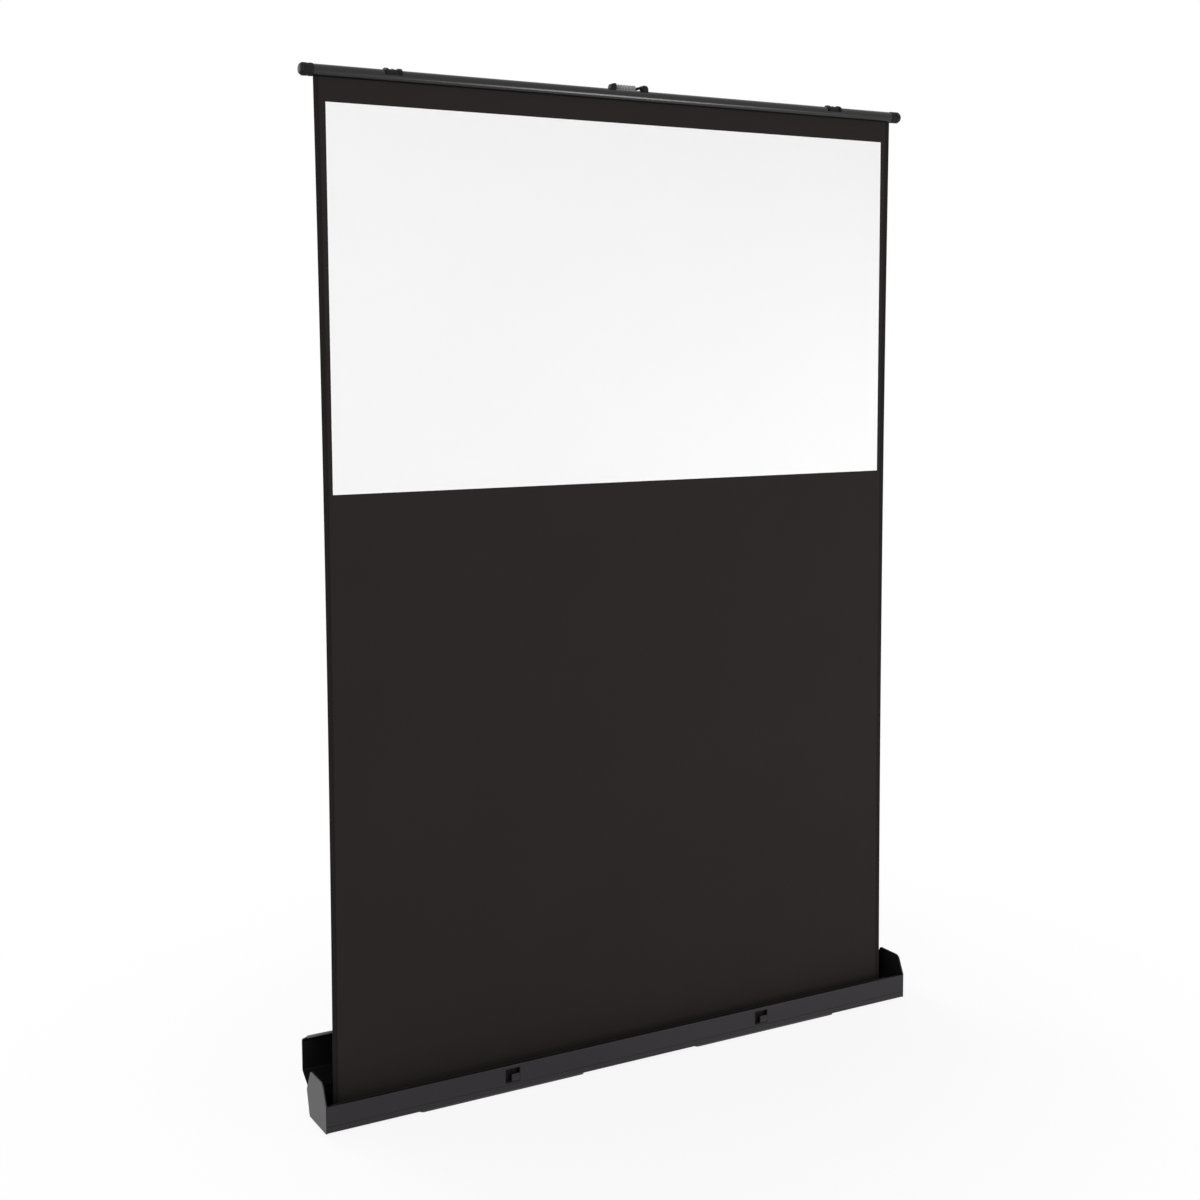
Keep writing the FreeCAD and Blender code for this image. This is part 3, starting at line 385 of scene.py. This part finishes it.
def turn(bm, outline, centre, along, steps=48, closed=False):
    """Spins an outline of (along, radius) points about an axis through centre. A closed one is a ring."""
    out = along.orthogonal().normalized()
    points = [bm.verts.new(centre + along * a + out * r) for a, r in outline]
    ends = zip(points, points[1:] + points[:1]) if closed else zip(points, points[1:])
    edges = [bm.edges.new(pair) for pair in ends]
    bmesh.ops.spin(bm, geom=points + edges, cent=centre, axis=along, angle=math.tau, steps=steps,
                   use_merge=True)
    bmesh.ops.remove_doubles(bm, verts=bm.verts, dist=1e-6)
    bmesh.ops.recalc_face_normals(bm, faces=bm.faces)


def block(bm, centre, size):
    bmesh.ops.create_cube(bm, size=1, matrix=Matrix.Translation(centre) @ Matrix.Diagonal((*size, 1)))


def bend_rod(bm, start, heading, radius, steps):
    """Draws a round rod: each step is a straight length, or (radius, side) for a right-angle bend."""
    turn_to = heading.to_track_quat("Z", "Y").to_matrix().to_4x4()
    bmesh.ops.create_circle(bm, cap_ends=False, radius=radius, segments=20,
                            matrix=Matrix.Translation(start) @ turn_to)
    ring = bm.edges[:]
    here, ahead = start.copy(), heading.copy()
    for step in steps:
        if isinstance(step, tuple):
            bend, side = step
            made = bmesh.ops.spin(bm, geom=ring, cent=here + side * bend, axis=ahead.cross(side),
                                  angle=math.pi / 2, steps=8)["geom_last"]
            here, ahead = here + (ahead + side) * bend, side.copy()
        else:
            made = bmesh.ops.extrude_edge_only(bm, edges=ring)["geom"]
            here = here + ahead * step
            moved = [g for g in made if isinstance(g, bmesh.types.BMVert)]
            bmesh.ops.translate(bm, verts=moved, vec=ahead * step)
            made = [g for g in made if isinstance(g, bmesh.types.BMEdge)
                    and all(abs((v.co - here).dot(ahead)) < 1e-6 for v in g.verts)]
        ring = [g for g in made if isinstance(g, bmesh.types.BMEdge)]
    bmesh.ops.holes_fill(bm, edges=[e for e in bm.edges if len(e.link_faces) == 1], sides=0)
    bmesh.ops.recalc_face_normals(bm, faces=bm.faces)


def run_map(bm, measure):
    """Lays the cloth's map: the distance from the nearer side edge, and the height, in metres."""
    layer = bm.loops.layers.uv.new("edge_run")
    for face in bm.faces:
        for corner in face.loops:
            corner[layer].uv = measure(corner.vert.co)


def finished(name, bm, body, finish, replaced=(), smooth_below=35):
    """Makes the shaped mesh an object at the origin that rides on a body."""
    mesh = bpy.data.meshes.new(name)
    bm.to_mesh(mesh)
    bm.free()
    if smooth_below:
        mesh.shade_smooth()
        mesh.set_sharp_from_angle(angle=math.radians(smooth_below))
    mesh.materials.append(FINISH[finish])
    piece = bpy.data.objects.new(name, mesh)
    bpy.context.scene.collection.objects.link(piece)
    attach(piece, body)
    if replaced:
        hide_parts(*replaced)
    return piece


def dress(finish, *nodes):
    """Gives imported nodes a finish, with their shapes left as they are."""
    for node in nodes:
        mesh = NODES[node].data
        mesh.materials.clear()
        mesh.materials.append(FINISH[finish])


def both(name):
    return f"{name}_left", f"{name}_right"


# Pieces


class PULL_UP_SCREEN_OT_fabric(bpy.types.Operator):
    """Hangs the black backing cloth with its hems, coats the white field on it and winds the spare turns"""
    bl_idname = "pull_up_screen.fabric"
    bl_label = "Fabric"

    def execute(self, context):
        size = sizes()
        low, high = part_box("black_surround")
        half, tall, mid = high.x, high.z - low.z, (low.z + high.z) / 2
        plane = (low.y + high.y) / 2

        def side_at(z):
            """Half width of the stretched cloth: its edges draw in between the bar and the roller."""
            return half - size.edge_draw * (1 - ((z - mid) / (tall / 2)) ** 2)

        bm = bmesh.new()
        across, up = 40, 48
        stand_up = Matrix.Translation((0, plane, mid)) @ Matrix.Rotation(math.pi / 2, 4, "X")
        bmesh.ops.create_grid(bm, x_segments=across, y_segments=up, size=0.5, matrix=stand_up)
        bmesh.ops.scale(bm, vec=(2 * half, 1, tall), verts=bm.verts, space=Matrix.Translation((0, 0, -mid)))
        # The column of points next to each edge moves out to the hem's inner line.
        hem_line = half - half / (across / 2) * 1.01
        for v in bm.verts:
            edge = side_at(v.co.z)
            inner = abs(v.co.x) > hem_line - NEAR and abs(v.co.x) < half - NEAR
            reach = edge - size.hem_width if inner else abs(v.co.x) / half * edge
            v.co.x = math.copysign(reach, v.co.x) if abs(v.co.x) > 1e-6 else 0
        run_map(bm, lambda co: (side_at(co.z) - abs(co.x), co.z))
        backing = finished("screen_backing", bm, "case", "cloth", ["black_surround"],
                           smooth_below=0)
        hem = backing.vertex_groups.new(name="hem")
        body = [v.index for v in backing.data.vertices
                if side_at(v.co.z) - abs(v.co.x) > size.hem_width + NEAR]
        # The cloth between the hems has this share of their thickness.
        body_share = 0.6
        hem.add([v.index for v in backing.data.vertices], 1.0, "REPLACE")
        hem.add(body, body_share, "REPLACE")
        doubled = backing.modifiers.new("doubled_hem", "SOLIDIFY")
        doubled.thickness, doubled.offset = size.cloth / body_share, 0
        doubled.vertex_group = "hem"

        low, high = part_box("white_field")
        bm = bmesh.new()
        front = plane - size.cloth / 2 - size.coat / 2 - 0.05 * MM
        middle_z = (low.z + high.z) / 2
        stand_up = Matrix.Translation((0, front, middle_z)) @ Matrix.Rotation(math.pi / 2, 4, "X")
        bmesh.ops.create_grid(bm, x_segments=24, y_segments=14, size=0.5, matrix=stand_up)
        bmesh.ops.scale(bm, vec=(high.x - low.x, 1, high.z - low.z), verts=bm.verts,
                        space=Matrix.Translation((0, 0, -middle_z)))
        field = finished("screen_field", bm, "case", "field", ["white_field"], smooth_below=0)
        coat = field.modifiers.new("coat", "SOLIDIFY")
        coat.thickness, coat.offset = size.coat, 0

        # Each cloth gets a mesh of its own. A folded share is worked out for each, the backing to the depth
        # of the roller bay and the white field to less so that none of it shows there, but nothing here uses
        # it.
        folded, field_keep = 27 * MM, 0.005
        for cloth, keep in ((backing, folded / tall), (field, field_keep)):
            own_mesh(cloth)

        low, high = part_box("fabric_roll")
        centre, radius = (low + high) / 2, (high.z - low.z) / 2
        bore = (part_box("roller_tube")[1].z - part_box("roller_tube")[0].z) / 2 + 0.05 * MM
        bm = bmesh.new()
        reach = high.x - centre.x
        # The ends of the turns step in and out a little.
        turns, step = 3, 0.5 * MM
        ends = [(reach - step * (i % 2), bore + (radius - bore) * i / turns) for i in range(turns + 1)]
        outline = [(-a, r) for a, r in ends] + [(a, r) for a, r in reversed(ends)]
        turn(bm, outline, centre, X, steps=64, closed=True)
        run_map(bm, lambda co: (reach - abs(co.x), co.z))
        finished("wound_turns", bm, "roller", "cloth", ["fabric_roll"])
        return {"FINISHED"}


class PULL_UP_SCREEN_OT_top_bar(bpy.types.Operator):
    """Rolls the slotted top bar, turns its end caps and finishes the arm saddles"""
    bl_idname = "pull_up_screen.top_bar"
    bl_label = "Top bar"

    def execute(self, context):
        low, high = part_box("top_bar_tube")
        axis = Vector((0, (low.y + high.y) / 2, (low.z + high.z) / 2))
        radius, wall, slot_half = (high.z - low.z) / 2, 1.5 * MM, 0.8 * MM
        gap = slot_half / radius
        bm = bmesh.new()
        start = axis + X * low.x
        down = Vector((0, math.sin(gap), -math.cos(gap)))
        lip = [bm.verts.new(start + down * radius), bm.verts.new(start + down * (radius - wall))]
        bmesh.ops.spin(bm, geom=lip + [bm.edges.new(lip)], cent=start, axis=X, angle=math.tau - 2 * gap,
                       steps=80)
        section = bmesh.ops.extrude_face_region(bm, geom=bm.faces[:])["geom"]
        bmesh.ops.translate(bm, verts=[g for g in section if isinstance(g, bmesh.types.BMVert)],
                            vec=X * (high.x - low.x))
        bmesh.ops.recalc_face_normals(bm, faces=bm.faces)
        finished("slotted_bar", bm, "bar", "bar", ["top_bar_tube"])

        for side, sign in SIDES:
            low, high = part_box(f"bar_cap_{side}")
            outer = (high.z - low.z) / 2
            tip = max(abs(low.x), abs(high.x))
            bar_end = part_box("top_bar_tube")[1].x
            centre = axis + X * sign * bar_end
            depth = tip - bar_end
            plug, plug_end = radius - wall - 0.15 * MM, -18 * MM
            groove, crown = outer - 0.7 * MM, outer - 3.5 * MM
            # A plug inside the tube, a flange, a shallow groove and a rounded end.
            outline = [(plug_end, 0), (plug_end, plug), (0, plug), (0, outer), (depth * 0.3, outer),
                       (depth * 0.34, groove), (depth * 0.42, groove), (depth * 0.46, outer),
                       (depth * 0.8, outer), (depth, crown), (depth, 0)]
            bm = bmesh.new()
            turn(bm, outline, centre, X * sign, steps=56)
            soften(bm, 1.0 * MM, above=25)
            finished(f"bar_end_{side}", bm, "bar", "black", [f"bar_cap_{side}"])
        dress("black", *both("arm_saddle"), "hem_spline")
        # A screw through the crown of each saddle clamps it to the bar.
        head = sizes().screw
        for side, _ in SIDES:
            low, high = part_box(f"arm_saddle_{side}")
            crown = Vector(((low.x + high.x) / 2, axis.y, high.z - 2.2 * MM))
            bm = bmesh.new()
            turn(bm, [(0, 0), (0, head), (0.9 * MM, head), (1.9 * MM, 0.7 * head), (1.9 * MM, 0.4 * head),
                      (0.8 * MM, 0.34 * head), (0.8 * MM, 0)], crown, Z, steps=36)
            soften(bm, 0.2 * MM, segments=2)
            finished(f"saddle_screw_{side}", bm, "bar", "steel")
        return {"FINISHED"}


class PULL_UP_SCREEN_OT_handle(bpy.types.Operator):
    """Bends the handle's rod, ribs its grip and finishes the two blocks"""
    bl_idname = "pull_up_screen.handle"
    bl_label = "Handle"

    def execute(self, context):
        low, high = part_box("handle_bail")
        grip_low, grip_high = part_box("handle_grip")
        rod = (high.z - low.z) / 2
        pivot_y, level = low.y + rod, (low.z + high.z) / 2
        reach = high.y - rod - pivot_y
        arm_x, bend = 28.5 * MM, 5 * MM
        stub = high.x - arm_x - bend
        bm = bmesh.new()
        bend_rod(bm, Vector((high.x, pivot_y, level)), -X, rod,
                 [stub, (bend, Y), reach - 2 * bend, (bend, -X), 2 * arm_x - 2 * bend, (bend, -Y),
                  reach - 2 * bend, (bend, -X), stub])
        finished("handle_rod", bm, "handle", "black", ["handle_bail"])

        centre = (grip_low + grip_high) / 2
        half, crest = grip_high.x - centre.x, (grip_high.z - grip_low.z) / 2
        groove, collar = crest - 1.4 * MM, 4 * MM
        ribs = round(2 * (half - collar) / sizes().grip_rib)
        rib = 2 * (half - collar) / ribs
        outline = [(-half, 0), (-half, crest)]
        for i in range(ribs):
            at = -half + collar + i * rib
            outline += [(at + 0.2 * rib, crest), (at + 0.35 * rib, groove), (at + 0.65 * rib, groove),
                        (at + 0.8 * rib, crest)]
        outline += [(half, crest), (half, 0)]
        bm = bmesh.new()
        turn(bm, outline, centre, X, steps=48)
        soften(bm, 0.3 * MM, segments=2, above=50)
        finished("ribbed_grip", bm, "handle", "grip", ["handle_grip"])

        for side, sign in SIDES:
            low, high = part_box(f"handle_block_{side}")
            bm = bmesh.new()
            block(bm, (low + high) / 2, high - low)
            # The outer top edge is well rounded, so the hand slides over it, and the rest is broken.
            mid_x = (low + high).x / 2
            shoulder = [e for e in bm.edges
                        if all((v.co.x - mid_x) * sign > 0 and v.co.z > high.z - NEAR for v in e.verts)]
            shoulder_round = 8 * MM
            bmesh.ops.bevel(bm, geom=shoulder, offset=shoulder_round, offset_type="OFFSET", segments=8,
                            profile=0.5, affect="EDGES", material=-1)
            soften(bm, 1.6 * MM)
            finished(f"handle_end_{side}", bm, "bar", "black", [f"handle_block_{side}"])
        return {"FINISHED"}


class PULL_UP_SCREEN_OT_arms(bpy.types.Operator):
    """Finishes the folding arms, their pivots and the brackets that carry them"""
    bl_idname = "pull_up_screen.arms"
    bl_label = "Folding arms"

    def execute(self, context):
        dress("arm", *both("lower_arm"), *both("upper_arm"), *both("arm_base"))
        dress("steel", *both("elbow_pin"), *both("base_pin"), *both("top_pin"))
        # The elbows and the feet of the arms are closed at the back by a washer and a peened, domed head.
        # The top pivots stay flush, because the lower arms pass behind them as they fold.
        for pin in (*both("elbow_pin"), *both("base_pin")):
            low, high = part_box(pin)
            back = Vector(((low.x + high.x) / 2, high.y, (low.z + high.z) / 2))
            head = (high.x - low.x) / 2
            bm = bmesh.new()
            turn(bm, [(-0.3 * MM, 0), (-0.3 * MM, head), (0.5 * MM, head), (0.5 * MM, 0.72 * head),
                      (1.3 * MM, 0.55 * head), (1.7 * MM, 0.25 * head), (1.7 * MM, 0)], back, Y, steps=40)
            soften(bm, 0.25 * MM, segments=2)
            finished(f"{pin}_head", bm, NODES[pin]["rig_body"], "steel")
        return {"FINISHED"}


class PULL_UP_SCREEN_OT_case(bpy.types.Operator):
    """Finishes the case, lid, end plates, latches and feet"""
    bl_idname = "pull_up_screen.case"
    bl_label = "Case and lid"

    def execute(self, context):
        dress("case", "case_trough")
        dress("lid", "lid_shell")
        # A round trim sits on the free edge of the lid's lip.
        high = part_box("lid_shell")[1]
        lip = Vector((0, 38.2 * MM, high.z - 1.4 * MM))
        bead, reach = 2.8 * MM, high.x
        bm = bmesh.new()
        turn(bm, [(-reach, 0), (-reach, bead), (reach, bead), (reach, 0)], lip, X, steps=24)
        soften(bm, 1.0 * MM, above=60)
        finished("lid_edge_trim", bm, "lid", "trim")
        dress("end_plate", *both("end_plate"))
        dress("cup", *both("latch_cup"))
        dress("black", *both("latch_pin"), *both("lid_strike"))
        dress("lever", *both("latch_lever"))
        # Three low ribs give the fingertip a hold on each lever.
        for side, _ in SIDES:
            low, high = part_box(f"latch_lever_{side}")
            wide, tall = high.x - low.x, high.z - low.z
            bm = bmesh.new()
            for share in (0.5, 0.66, 0.82):
                block(bm, Vector(((low.x + high.x) / 2, low.y, low.z + share * tall)),
                      (0.72 * wide, 0.9 * MM, 1.3 * MM))
            soften(bm, 0.3 * MM, segments=2)
            finished(f"lever_ribs_{side}", bm, f"lever_{side}", "lever")
        dress("steel", *both("foot_bolt"))
        dress("arm", *both("foot"))
        dress("rubber", *[f"foot_pad_{side}_{end}" for side, _ in SIDES for end in ("outer", "inner")])
        return {"FINISHED"}


class PULL_UP_SCREEN_OT_roller(bpy.types.Operator):
    """Finishes the sprung roller, its plugs, brackets and spindle"""
    bl_idname = "pull_up_screen.roller"
    bl_label = "Roller"

    def execute(self, context):
        dress("roller", "roller_tube")
        dress("steel", "roller_spindle", "torsion_spring", *both("roller_bracket"))
        dress("black", *both("roller_plug"))
        return {"FINISHED"}


class PULL_UP_SCREEN_OT_stage(bpy.types.Operator):
    """Sets the pale floor, the soft studio lights and the camera"""
    bl_idname = "pull_up_screen.stage"
    bl_label = "Stage"

    def execute(self, context):
        scene = context.scene
        scene.view_settings.view_transform = "Standard"
        # Matt white studio paint: it takes the object's soft shadow near it and fades to clear white.
        floor_finish, tree, shader, place = new_finish("studio_floor_matt_paint", Roughness=0.9,
                                                       Specular_IOR_Level=0.1)
        cloud = add_node(tree, "ShaderNodeTexNoise", values={"Scale": 0.6, "Detail": 2.0},
                         links={"Vector": place})
        paint = colours().floor
        tone = add_node(tree, "ShaderNodeMix", {"data_type": "RGBA"},
                        {6: rgba(paint, 0.99), 7: rgba(paint)}, {0: cloud.outputs["Fac"]})
        tree.links.new(tone.outputs[2], shader.inputs["Base Color"])
        away = add_node(tree, "ShaderNodeVectorMath", {"operation": "LENGTH"}, links={0: place})
        fade = add_node(tree, "ShaderNodeMapRange", {"interpolation_type": "SMOOTHSTEP"},
                        {"From Min": 0.4, "From Max": 1.7, "To Min": 0.87, "To Max": 1.0},
                        {"Value": away.outputs["Value"]})
        share = add_node(tree, "ShaderNodeMath", {"operation": "MULTIPLY"},
                         links={0: seen_white(tree), 1: fade.outputs["Result"]})
        white = add_node(tree, "ShaderNodeEmission", values={"Color": (1, 1, 1, 1), "Strength": 1.0})
        painted = add_node(tree, "ShaderNodeMixShader",
                           links={0: share.outputs[0], 1: shader.outputs[0], 2: white.outputs[0]})
        output = next(n for n in tree.nodes if n.type == "OUTPUT_MATERIAL")
        tree.links.new(painted.outputs[0], output.inputs["Surface"])
        bm = bmesh.new()
        half_floor = 14
        bmesh.ops.create_grid(bm, x_segments=1, y_segments=1, size=half_floor)
        mesh = bpy.data.meshes.new("studio_floor")
        bm.to_mesh(mesh)
        bm.free()
        mesh.materials.append(floor_finish)
        floor = bpy.data.objects.new("studio_floor", mesh)
        scene.collection.objects.link(floor)

        world = bpy.data.worlds.new("studio")
        world.use_nodes = True
        tree = world.node_tree
        tree.nodes.clear()
        # The lens, gloss and glass see white, and everything else a softer grey sky.
        sky = add_node(tree, "ShaderNodeBackground", values={"Color": (1, 1, 1, 1), "Strength": 0.4})
        white = add_node(tree, "ShaderNodeBackground", values={"Color": (1, 1, 1, 1), "Strength": 1.0})
        either = add_node(tree, "ShaderNodeMixShader",
                          links={0: seen_white(tree), 1: sky.outputs[0], 2: white.outputs[0]})
        add_node(tree, "ShaderNodeOutputWorld", links={"Surface": either.outputs[0]})
        scene.world = world

        # A broad key from the left, a low upright softbox whose streak runs along the bar, and a back light.
        for name, spot, aim, wide, tall, watts in (
                ("key", (-3.4, -3.0, 2.8), (0, 0, 1.0), 2.2, 2.2, 81),
                ("bar_streak", (1.42, -2.18, 0.55), (0, 0, 2.06), 0.7, 1.1, 28),
                ("back", (-1.0, 3.4, 3.2), (0, 0, 1.0), 2.0, 2.0, 80)):
            lamp = bpy.data.lights.new(name, "AREA")
            lamp.shape, lamp.size, lamp.size_y, lamp.energy = "RECTANGLE", wide, tall, watts
            light = bpy.data.objects.new(name, lamp)
            light.location = spot
            light.rotation_euler = (Vector(aim) - Vector(spot)).to_track_quat("-Z", "Y").to_euler()
            light.visible_camera = False
            scene.collection.objects.link(light)

        # The camera stands and looks as the perspective of the photograph asks.
        lens = bpy.data.cameras.new("photo_angle")
        lens.sensor_width, lens.lens = 36.0, 50.93
        lens.shift_y = -0.0667
        yaw, pitch, roll = 0.5125, 0.0958, -0.004
        ahead = Vector((math.sin(yaw) * math.cos(pitch), math.cos(yaw) * math.cos(pitch), -math.sin(pitch)))
        camera = bpy.data.objects.new("photo_angle", lens)
        camera.location = (-1.8214, -3.1319, 1.5241)
        level = ahead.to_track_quat("-Z", "Y")
        camera.rotation_euler = (level @ Matrix.Rotation(roll, 3, "Z").to_quaternion()).to_euler()
        lens.clip_start, lens.clip_end = 0.05, 100
        scene.collection.objects.link(camera)
        scene.camera = camera
        return {"FINISHED"}


PIECES = (PULL_UP_SCREEN_OT_fabric, PULL_UP_SCREEN_OT_top_bar, PULL_UP_SCREEN_OT_handle,
          PULL_UP_SCREEN_OT_arms, PULL_UP_SCREEN_OT_case, PULL_UP_SCREEN_OT_roller, PULL_UP_SCREEN_OT_stage)


class SCREEN_PT_pieces(bpy.types.Panel):
    """Lists the pieces of the screen with their sizes and colours"""
    bl_idname = "SCREEN_PT_pieces"
    bl_label = "Projection screen"
    bl_space_type = "VIEW_3D"
    bl_region_type = "UI"
    bl_category = "Screen"

    def draw(self, context):
        for piece in PIECES:
            self.layout.operator(piece.bl_idname)
        for group in (context.scene.screen_sizes, context.scene.screen_colours):
            column = self.layout.column()
            for name in group.__annotations__:
                column.prop(group, name)


CLASSES = (ScreenSizes, ScreenColours, *PIECES, SCREEN_PT_pieces)


def register():
    for kind in CLASSES:
        bpy.utils.register_class(kind)
    bpy.types.Scene.screen_sizes = bpy.props.PointerProperty(type=ScreenSizes)
    bpy.types.Scene.screen_colours = bpy.props.PointerProperty(type=ScreenColours)


def unregister():
    del bpy.types.Scene.screen_colours
    del bpy.types.Scene.screen_sizes
    for kind in reversed(CLASSES):
        bpy.utils.unregister_class(kind)


def main():
    register()
    mix_finishes()
    bpy.ops.pull_up_screen.fabric()
    bpy.ops.pull_up_screen.top_bar()
    bpy.ops.pull_up_screen.handle()
    bpy.ops.pull_up_screen.arms()
    bpy.ops.pull_up_screen.case()
    bpy.ops.pull_up_screen.roller()
    bpy.ops.pull_up_screen.stage()


if __name__ == "__main__":
    main()
